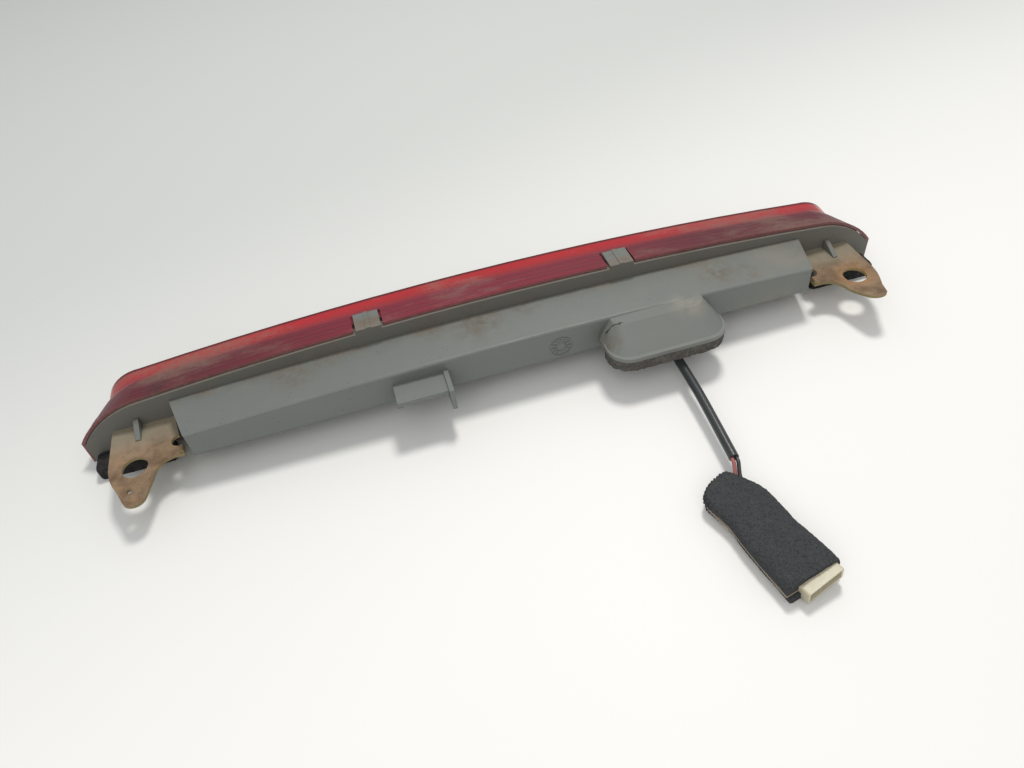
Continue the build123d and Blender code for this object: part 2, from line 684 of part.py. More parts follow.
def wire_channel():
    """Space that the two wires take inside the wrap, behind the connector."""
    with BuildPart(mode=Mode.PRIVATE) as channel:
        with BuildSketch(WRAP.offset(CHANNEL_Z[0])):
            Polygon((-4.6, PLUG_Y[1] - 1.5), (7.6, PLUG_Y[1] - 1.5), (9.6, 40.0), (10.4, 56.0), (2.4, 56.0),
                    (0.4, 44.0), (-4.6, 30.0), align=None)
        extrude(amount=CHANNEL_Z[1] - CHANNEL_Z[0])
    return channel.part


def wrap_slice(z_from, z_to):
    """One layer of the wrap with room for the connector and the wires."""
    with BuildPart() as layer:
        with BuildSketch(WRAP.offset(z_from)):
            add(wrap_outline())
        extrude(amount=z_to - z_from)
        add(plug_block(PLUG_Y[0] - 4.0, PLUG_Y[1]), mode=Mode.SUBTRACT)
        add(wire_channel(), mode=Mode.SUBTRACT)
    return layer


keep("foam_wrap_lower", wrap_slice(0.0, LOWER_TOP))
keep("wrap_adhesive", wrap_slice(LOWER_TOP, UPPER_BOTTOM))
keep("foam_wrap_upper", wrap_slice(UPPER_BOTTOM, WRAP_THICK))

PIN_XS = (-PIN_PITCH / 2, PIN_PITCH / 2)
PLUG_LENGTH = PLUG_Y[1] - PLUG_Y[0]


def across(y):
    """Plane across the connector at a distance from the wrap's open end, normal towards that end."""
    return Plane(origin=PLUG.from_local_coords(Vector(0, y, 0)), x_dir=PLUG.x_dir, z_dir=-PLUG.y_dir)


with BuildPart() as connector_body:
    with BuildSketch(across(PLUG_Y[1])):
        RectangleRounded(*PLUG_SIZE, PLUG_CORNER)
    extrude(amount=PLUG_LENGTH)
    with BuildSketch(across(PLUG_Y[0])):
        RectangleRounded(PLUG_SIZE[0] - 2 * PLUG_WALL, PLUG_SIZE[1] - 2 * PLUG_WALL, PLUG_CORNER / 2)
    extrude(amount=-PLUG_MOUTH, mode=Mode.SUBTRACT)
    with BuildSketch(across(PLUG_Y[1])):
        with Locations(*[(x, 0) for x in PIN_XS]):
            Circle(WIRE_DIAMETER / 2)
    extrude(amount=WIRE_SEAT, mode=Mode.SUBTRACT)
    with BuildSketch(across(PLUG_Y[1])):
        with Locations(*[(x, 0) for x in PIN_XS]):
            Rectangle(*PIN_SECTION)
    extrude(amount=PLUG_LENGTH, mode=Mode.SUBTRACT)
keep("connector_body", connector_body)

with BuildPart() as connector_terminals:
    with BuildSketch(across(PLUG_Y[1] - WIRE_SEAT)):
        with Locations(*[(x, 0) for x in PIN_XS]):
            Rectangle(*PIN_SECTION)
    extrude(amount=PLUG_LENGTH - WIRE_SEAT - PLUG_MOUTH + PIN_REACH)
keep("connector_terminals", connector_terminals)


def wire(name, offset_x, pin_x):
    """One bare-ended wire from the sleeve's end to its terminal."""
    lead_end = lead_points[-1]
    heading = (lead_end - lead_points[-2]).normalized()
    side = heading.cross(Vector(0, 0, 1)).normalized() * -offset_x
    entry = WRAP.from_local_coords(Vector(6.2 + offset_x, 50.5, WIRE_Z))
    bend = WRAP.from_local_coords(Vector(4.6 + offset_x, 40.0, WIRE_Z))
    inner = PLUG.from_local_coords(Vector(pin_x, PLUG_Y[1] + 9.0, 0))
    last = PLUG.from_local_coords(Vector(pin_x, PLUG_Y[1] - WIRE_SEAT, 0))
    start = lead_end + side
    return tube(name, [start, start + heading * 2.2, entry, bend, inner, last], WIRE_DIAMETER)


keep("wire_red", wire("wire_red", -WIRE_SPREAD, PIN_XS[0]))
keep("wire_black", wire("wire_black", WIRE_SPREAD, PIN_XS[1]))


def inner_wire(name, offset_x):
    """Wire inside the housing, from the sleeve's inner end up and forward to the board's header."""
    start = lead_points[0]
    up = (lead_points[0] - lead_points[1]).normalized()
    side = Vector(offset_x, 0, 0)
    header = place((HEADER_X + 2 * offset_x, BOARD_DEPTH - HEADER_SIZE[1], LED_Z + 1.0))
    over_floor = place((OUTLET_X - 0.6 + offset_x, -28.5, BOSS_BASE_Z + 5.0))
    points = [start + side, start + side + up * 5.4, over_floor,
              place((HEADER_X + 2 * offset_x, -16.0, LED_Z + 1.0)), header]
    return tube(name, points, WIRE_DIAMETER)


keep("inner_wire_red", inner_wire("inner_wire_red", -WIRE_SPREAD))
keep("inner_wire_black", inner_wire("inner_wire_black", WIRE_SPREAD))

# ---- export ----
os.makedirs("parts", exist_ok=True)
for name, solid in parts.items():
    export_step(solid, f"parts/{name}.step")
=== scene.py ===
"""Looks of the third brake light: materials, lead, foam pieces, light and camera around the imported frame."""

from math import atan2, cos, pi, radians, sin

import bpy
from mathutils import Matrix, Vector, noise


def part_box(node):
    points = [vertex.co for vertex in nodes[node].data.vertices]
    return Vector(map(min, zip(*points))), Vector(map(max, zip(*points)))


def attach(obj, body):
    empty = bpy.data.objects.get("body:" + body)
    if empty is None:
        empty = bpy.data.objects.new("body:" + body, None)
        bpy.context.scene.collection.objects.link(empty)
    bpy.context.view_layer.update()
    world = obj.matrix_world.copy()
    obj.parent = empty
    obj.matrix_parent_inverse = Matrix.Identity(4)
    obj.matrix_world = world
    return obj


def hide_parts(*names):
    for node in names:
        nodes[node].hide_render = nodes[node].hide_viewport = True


MM = 0.001

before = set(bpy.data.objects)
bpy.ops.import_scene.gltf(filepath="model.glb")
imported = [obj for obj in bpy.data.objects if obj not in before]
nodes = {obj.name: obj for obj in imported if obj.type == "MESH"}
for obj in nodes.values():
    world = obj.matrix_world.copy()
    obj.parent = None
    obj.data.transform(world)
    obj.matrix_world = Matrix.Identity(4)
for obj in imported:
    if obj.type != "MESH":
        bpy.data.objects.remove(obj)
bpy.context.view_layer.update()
scene = bpy.context.scene

REAR_EDGE_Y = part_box("lens")[0].y            # rear edge of the lens's skirt


def place(x, depth, z):
    """A point given in mm, with its depth ahead of the lens's rear edge."""
    return Vector((x * MM, REAR_EDGE_Y + depth * MM, z * MM))


# ---------------------------------------------------------------- material kit
class Look:
    """One procedural material, built from short calls. Distances in the textures are in metres."""

    def __init__(self, name, **principled):
        self.material = bpy.data.materials.new(name)
        self.material.use_nodes = True
        self.tree = self.material.node_tree
        self.shader = self.tree.nodes["Principled BSDF"]
        self.coords = self.tree.nodes.new("ShaderNodeTexCoord").outputs["Object"]
        for key, value in principled.items():
            self.shader.inputs[key.replace("_", " ")].default_value = value

    def node(self, kind, inputs, **settings):
        made = self.tree.nodes.new("ShaderNode" + kind)
        for key, value in settings.items():
            setattr(made, key, value)
        for key, value in inputs.items():
            if isinstance(value, bpy.types.NodeSocket):
                self.tree.links.new(value, made.inputs[key])
            else:
                made.inputs[key].default_value = value
        return made

    # -- where on the object
    def axis(self, name):
        return self.node("SeparateXYZ", {"Vector": self.coords}).outputs[name.upper()]

    def facing(self, name):
        normal = self.node("NewGeometry", {}).outputs["Normal"]
        return self.node("SeparateXYZ", {"Vector": normal}).outputs[name.upper()]

    def ahead(self, low, high):
        """Step along Y, between two distances ahead of the lens's rear edge, in mm."""
        return self.step(self.axis("y"), REAR_EDGE_Y + low * MM, REAR_EDGE_Y + high * MM)

    def spot(self, x, depth, z, radius, soft=1.0):
        """Mask that is 1 near a point and fades out over the radius, all in mm."""
        away = self.node("VectorMath", {0: self.coords, 1: place(x, depth, z)}, operation="DISTANCE")
        return self.step(away.outputs["Value"], radius * MM, radius * MM * (1 - soft))

    # -- textures
    def noise(self, scale, detail=4.0, roughness=0.55, stretch=(1, 1, 1), shift=0.0):
        moved = self.node("Mapping", {"Vector": self.coords, "Scale": stretch, "Location": (shift,) * 3})
        values = {"Vector": moved.outputs[0], "Scale": scale, "Detail": detail, "Roughness": roughness}
        return self.node("TexNoise", values).outputs["Fac"]

    def patches(self, low, high, *noise_values, **noise_options):
        """Patchy mask: a noise texture that counts as 0 below low and 1 above high."""
        return self.step(self.noise(*noise_values, **noise_options), low, high)

    def cells(self, scale):
        return self.node("TexVoronoi", {"Vector": self.coords, "Scale": scale}).outputs["Distance"]

    # -- sums of masks
    def step(self, value, low, high):
        """0 below low, 1 above high, smooth between. With low above high it falls instead."""
        falls = low > high
        start, end = (high, low) if falls else (low, high)
        inputs = {"Value": value, "From Min": start, "From Max": end,
                  "To Min": 1.0 if falls else 0.0, "To Max": 0.0 if falls else 1.0}
        return self.node("MapRange", inputs, interpolation_type="SMOOTHSTEP").outputs[0]

    def line(self, value, at, half):
        """Mask of a soft line where a value passes a given level."""
        away = self.math("ABSOLUTE", self.math("SUBTRACT", value, at))
        return self.step(away, half, 0.0)

    def math(self, operation, first, second=0.5):
        return self.node("Math", {0: first, 1: second}, operation=operation).outputs[0]

    def times(self, first, second):
        return self.math("MULTIPLY", first, second)

    def outside(self, mask):
        return self.math("SUBTRACT", 1.0, mask)

    def both(self, first, *others):
        for other in others:
            first = self.times(first, other)
        return first

    def either(self, first, *others):
        for other in others:
            first = self.math("MAXIMUM", first, other)
        return first

    def value(self, mask, first, second):
        return self.node("MapRange", {"Value": mask, "To Min": first, "To Max": second}).outputs[0]

    # -- colours and the shader
    def blend(self, mask, first, second):
        mixed = self.node("Mix", {0: mask}, data_type="RGBA")
        for index, colour in ((6, first), (7, second)):
            if isinstance(colour, bpy.types.NodeSocket):
                self.tree.links.new(colour, mixed.inputs[index])
            else:
                mixed.inputs[index].default_value = (*colour, 1.0)
        return mixed.outputs[2]

    def tint(self, tone, colour, mask, amount=1.0):
        """The tone so far, with a colour laid over it where the mask says."""
        return self.blend(mask if amount == 1.0 else self.times(mask, amount), tone, colour)

    def colour(self, socket):
        self.tree.links.new(socket, self.shader.inputs["Base Color"])

    def rough(self, socket):
        self.tree.links.new(socket, self.shader.inputs["Roughness"])

    def bump(self, height, distance, strength):
        made = self.node("Bump", {"Height": height, "Distance": distance, "Strength": strength})
        self.tree.links.new(made.outputs[0], self.shader.inputs["Normal"])

    def dress(self, *targets):
        for target in targets:
            piece = nodes[target] if isinstance(target, str) else target
            piece.data.materials.clear()
            piece.data.materials.append(self.material)
        return self


# ---------------------------------------------------------------- housing
# Brown patches on the housing: X, distance ahead of the lens's rear edge, Z and radius, in mm.
BROWN_PATCHES = [
    (-102, -7, 30, 18),
    (-86, -3, 30, 13),
    (-36, -3, 32, 14),
    (-13, -7, 32, 21),
    (12, -3, 32, 13),
    (108, -13, 30, 16),
    (122, -18, 29, 10),
    (160, -8, 22, 18),
]


def grey_plastic(look):
    """Cloudy grey-green, turning beige towards the right end."""
    cloud = look.noise(16.0, 5.0, 0.6, stretch=(0.5, 1, 1))
    tone = look.blend(cloud, (0.124, 0.135, 0.126), (0.164, 0.174, 0.160))
    to_the_right = look.step(look.axis("x"), 0.02, 0.16)
    beige = look.both(to_the_right, look.patches(0.35, 0.7, 40.0, 4.0, 0.6, shift=3.0))
    return look.tint(tone, (0.205, 0.188, 0.152), beige, 0.6)


def dust_film(look, up):
    """Mask of the dust, in streaks along the lamp, most of it on what faces up and near the flange."""
    streaks = look.patches(0.52, 0.78, 60.0, 8.0, 0.7, stretch=(0.55, 1.3, 1), shift=7.0)
    near_flange = look.ahead(-16, -2)
    return look.both(streaks, look.value(up, 0.3, 0.9), look.value(near_flange, 0.35, 0.9))


def boss_shoulder_tones(look, tone):
    """Dirty left shoulder of the boss and a pale patch on its right shoulder."""
    left_shoulder = look.both(look.spot(43, -36, 24, 14), look.step(look.axis("x"), 0.052, 0.046),
                              look.patches(0.36, 0.62, 240.0, 6.0, 0.7, shift=12.0))
    tone = look.tint(tone, (0.115, 0.095, 0.070), left_shoulder, 0.8)
    # A pale patch on the boss's right shoulder.
    right_shoulder = look.both(look.spot(85, -30, 29, 13),
                               look.patches(0.30, 0.62, 150.0, 6.0, 0.7, shift=14.0))
    return look.tint(tone, (0.30, 0.262, 0.20), right_shoulder, 0.5)


def boss_crack(look):
    """Mask of the split in the boss's left shoulder: a short line that wanders about one depth."""
    wander = look.times(look.noise(240.0, 3.0, 0.6, shift=16.0), 0.006)
    split = look.line(look.math("ADD", look.axis("y"), wander), REAR_EDGE_Y - 0.0285, 0.0008)
    return look.both(split, look.spot(46.0, -31.5, 28.0, 6.5, soft=0.4))


def flange_grime_and_painted_light(look, tone, flange, up):
    """Grime on the flange's back, a painted highlight on its edge and painted shade in the corner where the
    box meets it.
    """
    back = look.step(look.facing("y"), -0.6, -0.9)
    grime = look.value(look.noise(130.0, 6.0, 0.7, shift=9.0), 0.55, 1.0)
    tone = look.tint(tone, (0.150, 0.138, 0.116), look.both(flange, back, grime))
    # Painted highlight: a paler tone on the flange's edge faces that do not face back.
    edge = look.both(flange, look.outside(back), look.ahead(4.4, 3.6))
    tone = look.tint(tone, (0.165, 0.145, 0.122), edge)
    # Painted shade: a dark band in the corner just behind the flange, where the box's top meets it.
    corner = look.both(look.ahead(-3.4, -1.6), look.outside(flange))
    tone = look.tint(tone, (0.085, 0.075, 0.060), corner, 0.7)
    seam = look.both(look.ahead(-8.5, -2.0), up,
                     look.patches(0.46, 0.62, 95.0, 7.0, 0.75, stretch=(0.5, 1, 1), shift=31.0))
    return look.tint(tone, (0.135, 0.108, 0.080), seam, 0.75)


def housing_look():
    """Grey moulded plastic with a fine grain, dust on what faces up, brown patches, grime, and painted shade
    and highlight along the flange.
    """
    look = Look("housing_plastic", Roughness=0.5, Specular_IOR_Level=0.4)
    up = look.step(look.facing("z"), 0.3, 0.9)
    flange = look.ahead(-2.2, -1.0)
    dusty = dust_film(look, up)
    tone = look.tint(grey_plastic(look), (0.215, 0.190, 0.148), dusty)
    spots = look.either(*(look.spot(*patch) for patch in BROWN_PATCHES))
    brown = look.both(spots, look.patches(0.34, 0.60, 170.0, 7.0, 0.75, shift=5.0))
    tone = look.tint(tone, (0.122, 0.103, 0.078), brown, 0.8)
    crack = boss_crack(look)
    tone = look.tint(boss_shoulder_tones(look, tone), (0.02, 0.017, 0.014), crack)
    tone = flange_grime_and_painted_light(look, tone, flange, up)
    specks = look.both(look.step(look.cells(420.0), 0.16, 0.05),
                       look.patches(0.5, 0.62, 55.0, 3.0, shift=11.0))
    look.colour(look.tint(tone, (0.07, 0.065, 0.06), specks))
    look.rough(look.value(look.either(dusty, brown, flange), 0.42, 0.85))
    grain = look.times(look.noise(2600.0, 3.0, 0.6), 0.25)
    relief = look.math("ADD", grain, look.noise(120.0, 4.0, 0.5, shift=2.0))
    look.bump(look.math("SUBTRACT", relief, look.times(crack, 3.0)), 0.00022, 0.6)
    return look


# ---------------------------------------------------------------- lens
def lens_red(look, skirt, lines, front):
    """Reds of the lens: painted shade along the front edge, bright top band, dull maroon skirt with fine lines
    round it.
    """
    x = look.axis("x")
    cloud = look.noise(30.0, 4.0, 0.6, stretch=(0.4, 1, 1))
    tone = look.blend(cloud, (0.46, 0.016, 0.024), (0.62, 0.030, 0.038))
    tone = look.tint(tone, (0.33, 0.040, 0.046), look.ahead(19.5, 14.5), 0.75)
    middle = look.both(look.step(x, -0.15, -0.05), look.step(x, 0.12, 0.03))
    maroon = look.blend(middle, (0.130, 0.014, 0.024), (0.25, 0.010, 0.034))
    tone = look.tint(tone, maroon, skirt, 0.92)
    tone = look.tint(tone, (0.07, 0.006, 0.014), lines, 0.55)
    # Painted shade along the front edge.
    return look.tint(tone, (0.055, 0.006, 0.008), front, 0.85)


def lens_look():
    """Translucent red plastic, with dust on top, a dark spot at the left and scuffed ends."""
    look = Look("red_lens", Roughness=0.22, IOR=1.49, Transmission_Weight=0.35, Specular_IOR_Level=0.32)
    y = look.axis("y")
    skirt = look.ahead(15.0, 11.5)
    lines = look.either(*(look.line(y, REAR_EDGE_Y + depth * MM, 0.0008) for depth in (3.5, 6.2, 9.8)))
    # Painted shade: a dark band along the lens's front edge.
    front = look.ahead(21.2, 22.6)
    tone = lens_red(look, skirt, lines, front)
    film = look.patches(0.22, 0.62, 420.0, 6.0, 0.75, shift=8.0)
    dust = look.both(look.step(look.facing("z"), 0.2, 0.9), film, look.outside(front),
                     look.patches(0.46, 0.68, 46.0, 6.0, 0.65, stretch=(0.45, 1.2, 1), shift=4.0))
    tone = look.tint(tone, (0.27, 0.17, 0.13), dust, 0.72)
    # A dark spot in the skirt near the lens's left end.
    dark_spot = look.both(look.spot(-162, 2, 30, 9), look.patches(0.40, 0.60, 260.0, 6.0, 0.7, shift=21.0))
    tone = look.tint(tone, (0.03, 0.020, 0.018), dark_spot)
    ends = look.both(look.step(look.facing("y"), -0.5, -0.9), look.value(film, 0.4, 0.9))
    look.colour(look.tint(tone, (0.42, 0.22, 0.20), ends, 0.6))
    look.rough(look.value(look.either(dust, look.times(skirt, 0.5)), 0.2, 0.7))
    ripples = look.noise(150.0, 3.0, 0.5, stretch=(0.12, 2.2, 1), shift=1.0)
    look.bump(look.math("ADD", ripples, look.times(lines, 0.8)), 0.0002, 0.5)
    return look


# ---------------------------------------------------------------- the other materials
def rust_look():
    """Steel plate with a thin coat of brown rust, greenish dust at its root and small dark pits."""
    look = Look("rusty_steel", Roughness=0.82, Specular_IOR_Level=0.3, Metallic=0.0)
    cloud = look.noise(90.0, 7.0, 0.68)
    tone = look.blend(look.step(cloud, 0.3, 0.7), (0.125, 0.078, 0.045), (0.275, 0.190, 0.118))
    orange = look.times(look.patches(0.54, 0.74, 210.0, 6.0, 0.7, shift=4.0), 0.4)
    near_right_hole = look.times(look.spot(177.2, -28.5, 15.5, 13), 0.7)
    tone = look.tint(tone, (0.36, 0.175, 0.062), look.either(orange, near_right_hole))
    dark = look.patches(0.60, 0.74, 320.0, 5.0, 0.7, shift=9.0)
    tone = look.tint(tone, (0.045, 0.030, 0.022), dark, 0.7)
    dusty = look.both(look.ahead(-21, -8), look.value(look.noise(130.0, 5.0, 0.65, shift=6.0), 0.45, 1.0))
    tone = look.tint(tone, (0.235, 0.215, 0.160), dusty)
    cut_faces = look.step(look.facing("z"), 0.35, 0.1)
    look.colour(look.tint(tone, (0.29, 0.26, 0.11), cut_faces, 0.4))
    look.rough(look.value(cloud, 0.7, 0.95))
    pits = look.noise(900.0, 6.0, 0.7, shift=2.0)
    look.bump(look.math("ADD", pits, cloud), 0.00035, 0.8)
    return look


DUST = (0.30, 0.265, 0.21)


def foam_look(name, dark, light, dust=0.0, pore=1500.0):
    """Open-cell foam: small pores, a slightly lighter cell wall and a little dust."""
    look = Look(name, Roughness=0.95, Specular_IOR_Level=0.15)
    pores = look.cells(pore)
    tone = look.blend(look.step(pores, 0.1, 0.55), dark, light)
    tone = look.tint(tone, dark, look.noise(140.0, 5.0, 0.6), 0.35)
    if dust:
        tone = look.tint(tone, DUST, look.patches(0.42, 0.75, 260.0, 6.0, 0.7, shift=5.0), dust)
    look.colour(tone)
    grain = look.noise(1900.0, 4.0, 0.7, shift=3.0)
    look.bump(look.math("ADD", pores, grain), 0.0005, 0.9)
    return look


def plastic_look(name, first, second, roughness=0.4, **principled):
    """Small moulded piece: two close tones and a fine grain."""
    look = Look(name, **principled)
    look.colour(look.blend(look.noise(120.0, 5.0, 0.6), first, second))
    look.rough(look.value(look.noise(300.0, 4.0, shift=2.0), roughness * 0.8, roughness * 1.25))
    look.bump(look.noise(900.0, 4.0, 0.6, shift=4.0), 0.00012, 0.5)
    return look


def metal_look(name, first, second, roughness):
    """Plated or coated metal with fine rolling marks."""
    look = Look(name, Metallic=1.0)
    marks = look.noise(900.0, 4.0, 0.6, stretch=(0.1, 1, 1))
    look.colour(look.blend(marks, first, second))
    look.rough(look.value(look.noise(200.0, 4.0, shift=2.0), roughness * 0.7, roughness * 1.3))
    look.bump(marks, 0.00004, 0.4)
    return look


BLACK, SOOT = (0.012, 0.012, 0.012), (0.03, 0.03, 0.03)

gasket_foam = foam_look("gasket_foam", (0.040, 0.038, 0.035), (0.110, 0.104, 0.093), dust=0.35)
wrap_foam = foam_look("wrap_foam", (0.034, 0.036, 0.038), (0.062, 0.065, 0.068), dust=0.05, pore=1100.0)
pad_foam = foam_look("pad_rubber", (0.010, 0.010, 0.011), (0.030, 0.030, 0.031), dust=0.12)
seal_foam = foam_look("seal_foam", BLACK, (0.035, 0.035, 0.035))

grommet_rubber = plastic_look("grommet_rubber", (0.015, 0.015, 0.015), SOOT, 0.6)
sleeve_pvc = plastic_look("sleeve_pvc", (0.022, 0.026, 0.026), (0.038, 0.043, 0.042), 0.30)
red_pvc = plastic_look("wire_red_pvc", (0.24, 0.065, 0.065), (0.34, 0.11, 0.10), 0.35)
black_pvc = plastic_look("wire_black_pvc", (0.016, 0.016, 0.017), SOOT, 0.35)
ivory = plastic_look("connector_ivory", (0.46, 0.40, 0.27), (0.60, 0.54, 0.40), 0.42, Subsurface_Weight=0.1)
adhesive = plastic_look("adhesive_tan", (0.34, 0.28, 0.20), (0.50, 0.43, 0.33), 0.6)
board = plastic_look("board", (0.62, 0.64, 0.60), (0.72, 0.73, 0.70), 0.35)
led_resin = plastic_look("led_resin", (0.50, 0.04, 0.03), (0.65, 0.10, 0.06), 0.15, Transmission_Weight=0.4)
chip_black = plastic_look("chip_black", BLACK, SOOT, 0.5)
nylon = plastic_look("header_nylon", (0.60, 0.57, 0.48), (0.70, 0.67, 0.58), 0.45)

tin = metal_look("terminal_tin", (0.55, 0.54, 0.52), (0.75, 0.74, 0.72), 0.3)
steel = metal_look("screw_steel", (0.42, 0.42, 0.43), (0.62, 0.62, 0.63), 0.35)
silver = metal_look("reflector_silver", (0.78, 0.78, 0.80), (0.90, 0.90, 0.91), 0.16)

housing_look().dress("housing")
lens_look().dress("lens")
rust_look().dress("bracket_left", "bracket_right")
seal_foam.dress("lens_seal")
grommet_rubber.dress("cable_grommet")
red_pvc.dress("wire_red", "inner_wire_red")
black_pvc.dress("wire_black", "inner_wire_black")
ivory.dress("connector_body")
tin.dress("connector_terminals")
adhesive.dress("wrap_adhesive")
board.dress("led_board")
led_resin.dress("leds")
chip_black.dress("resistors", "protection_diode")
nylon.dress("board_header")
steel.dress("board_screws")
silver.dress("reflector")


# ---------------------------------------------------------------- the lead
# The same points as the frame's sleeve: X, distance ahead of the lens's rear edge, Z, in mm.
LEAD_ROUTE = [
    (73.2, -37.0, 20.0),
    (73.2, -37.8, 12.6),
    (73.7, -43.6, 10.3),
    (73.9, -52.0, 9.8),
    (73.6, -67.0, 9.6),
    (72.6, -85.0, 9.0),
    (71.1, -107.3, 8.3),
]
SLEEVE_DIAMETER = 0.0045


def add_piece(name, data):
    piece = bpy.data.objects.new(name, data)
    scene.collection.objects.link(piece)
    return piece


def nurbs(name, points, diameter):
    """Smooth round cord along given control points."""
    curve = bpy.data.curves.new(name, "CURVE")
    curve.dimensions = "3D"
    spline = curve.splines.new("NURBS")
    spline.points.add(len(points) - 1)
    for target, point in zip(spline.points, points):
        target.co = (*point, 1.0)
    spline.order_u = 3
    spline.use_endpoint_u = True
    curve.resolution_u = 16
    curve.bevel_depth = diameter / 2
    curve.bevel_resolution = 8
    curve.use_fill_caps = True
    return add_piece(name, curve)


lead_points = [place(*point) for point in LEAD_ROUTE]
sleeve = nurbs("lead", lead_points, SLEEVE_DIAMETER)
sleeve_pvc.dress(sleeve)
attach(sleeve, "lamp")
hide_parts("lead_sleeve")


# ---------------------------------------------------------------- foam pieces
def apply_modifiers(piece):
    """Freeze a piece's modifiers into its mesh."""
    graph = bpy.context.evaluated_depsgraph_get()
    mesh = bpy.data.meshes.new_from_object(piece.evaluated_get(graph))
    piece.modifiers.clear()
    piece.data = mesh


def even_skin(piece, voxel, rounding):
    """Rebuild a piece with small even faces and soften its edges."""
    remesh = piece.modifiers.new("remesh", "REMESH")
    remesh.mode = "VOXEL"
    remesh.voxel_size = voxel
    soften = piece.modifiers.new("soften", "SMOOTH")
    soften.iterations = rounding
    soften.factor = 0.5
    apply_modifiers(piece)


def roughen(mesh, amount, scale, shift=0.0):
    """Move each vertex along its normal by smooth noise, so that foam has an uneven skin."""
    moves = []
    for vertex in mesh.vertices:
        at = vertex.co / scale + Vector((shift, shift, shift))
        height = noise.noise(at) + 0.5 * noise.noise(at * 2.7)
        moves.append(vertex.normal * (amount * height - amount * 0.6))
    for vertex, move in zip(mesh.vertices, moves):
        vertex.co += move


def declare_foam(piece, node, look):
    """Give a finished foam piece its material and its body, in the place of its CAD solid."""
    for polygon in piece.data.polygons:
        polygon.use_smooth = True
    look.dress(piece)
    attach(piece, "lamp")
    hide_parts(node)


def foam_copy(name, node, voxel, amount, scale, look):
    """A foam piece with its CAD solid's shape, rounded edges and an uneven skin."""
    piece = add_piece(name, nodes[node].data.copy())
    even_skin(piece, voxel, rounding=3)
    roughen(piece.data, amount, scale)
    declare_foam(piece, node, look)


foam_copy("gasket", "cable_gasket", 0.0006, 0.00035, 0.0016, gasket_foam)
foam_copy("pad_left", "end_pad_left", 0.0007, 0.0002, 0.002, pad_foam)
foam_copy("pad_right", "end_pad_right", 0.0007, 0.0002, 0.002, pad_foam)

# Foam wrap, in mm: local X across it, local Y from its open end to its root, turned about Z.
WRAP_FRAME = Matrix.Translation(place(72.05, -167.6, 0.0)) @ Matrix.Rotation(radians(11.2), 4, "Z")
WRAP_LENGTH = 55.0
WRAP_STATIONS = 240                     # rows of the grid along the wrap
WRAP_COLUMNS = 56                       # faces across each row
CUT_RIM = 1.1                           # how far the cut edge is rounded
LIFT = 1.1                              # extra height over the connector, on the right of the open end
FULL_HEIGHT_END = 12                    # the wrap is at its full height up to here
FALL_LENGTH = 20                        # and comes down over this length
# Distance from the open end and half width, to the right and to the left of the middle line.
RIGHT_EDGE = [(-3, 12.4), (0, 12.5), (3, 12.6), (11, 12.0), (16, 11.6), (22, 11.0), (26, 11.3), (36, 11.6),
              (41, 11.1), (45, 9.6), (49, 7.4), (52.5, 5.6), (55, 3.4)]
LEFT_EDGE = [(-3, 12.5), (0, 12.5), (8, 12.4), (14.5, 12.5), (23.5, 12.2), (30, 11.7), (33.5, 11.3),
             (38, 11.7), (44, 12.6), (47.5, 12.8), (50, 11.8), (52, 9.4), (53.6, 6.2), (55, 0.4)]

# Teeth of the pinking shears round the left part of the root.
ROOT_CENTRE = (-0.5, 42.5)
TEETH_PER_HALF_TURN = 23
TOOTH_DEPTH = 0.075                     # as a part of the root's radius


def along(points, at):
    """Smooth value of a list of (position, value) points, by Catmull-Rom."""
    last = len(points) - 2
    index = max(i for i in range(last + 1) if points[i][0] <= at or i == 0)
    p0, p1, p2, p3 = (points[min(max(index + k, 0), last + 1)] for k in (-1, 0, 1, 2))
    run = p2[0] - p1[0]
    slope1 = (p2[1] - p0[1]) / max(p2[0] - p0[0], 1e-6) * run
    slope2 = (p3[1] - p1[1]) / max(p3[0] - p1[0], 1e-6) * run
    t = (at - p1[0]) / run
    t2, t3 = t * t, t * t * t
    value = (2 * t3 - 3 * t2 + 1) * p1[1] + (3 * t2 - 2 * t3) * p2[1]
    return value + (t3 - 2 * t2 + t) * slope1 + (t3 - t2) * slope2


def scalloped(x, y):
    """Where a point of the wrap goes when the left part of its root gets its small teeth."""
    across, up = x - ROOT_CENTRE[0], y - ROOT_CENTRE[1]
    fade = min(max(up / 2.5, 0.0), 1.0) * min(max((3.5 - across) / 3.0, 0.0), 1.0)
    tooth = abs(sin(atan2(up, across) * TEETH_PER_HALF_TURN)) - 0.6
    stretch = 1 + TOOTH_DEPTH * fade * tooth
    return ROOT_CENTRE[0] + across * stretch, ROOT_CENTRE[1] + up * stretch


def wrap_row(y, low, high, crown, inset):
    """Bottom and top points across the wrap at one station, with rounded cut edges."""
    right, left = along(RIGHT_EDGE, y), inset - along(LEFT_EDGE, y)
    open_end = 0.5 + 0.5 * cos(pi * min(max((y - FULL_HEIGHT_END) / FALL_LENGTH, 0), 1))
    row = []
    for column in range(WRAP_COLUMNS + 1):
        u = -1 + 2 * column / WRAP_COLUMNS
        x = left + (right - left) * (u + 1) / 2
        rounded = (1 - min(min(x - left, right - x) / CUT_RIM, 1)) ** 2
        height = high + crown * (0.35 + 0.65 * open_end) * (1 - abs(u) ** 6) - CUT_RIM * rounded
        if crown:
            height += LIFT * open_end * max(u, 0) ** 0.5 * (1 - abs(u) ** 8)
        row.append(((x, y, low + 0.25 * rounded), (x, y, height)))
    return row


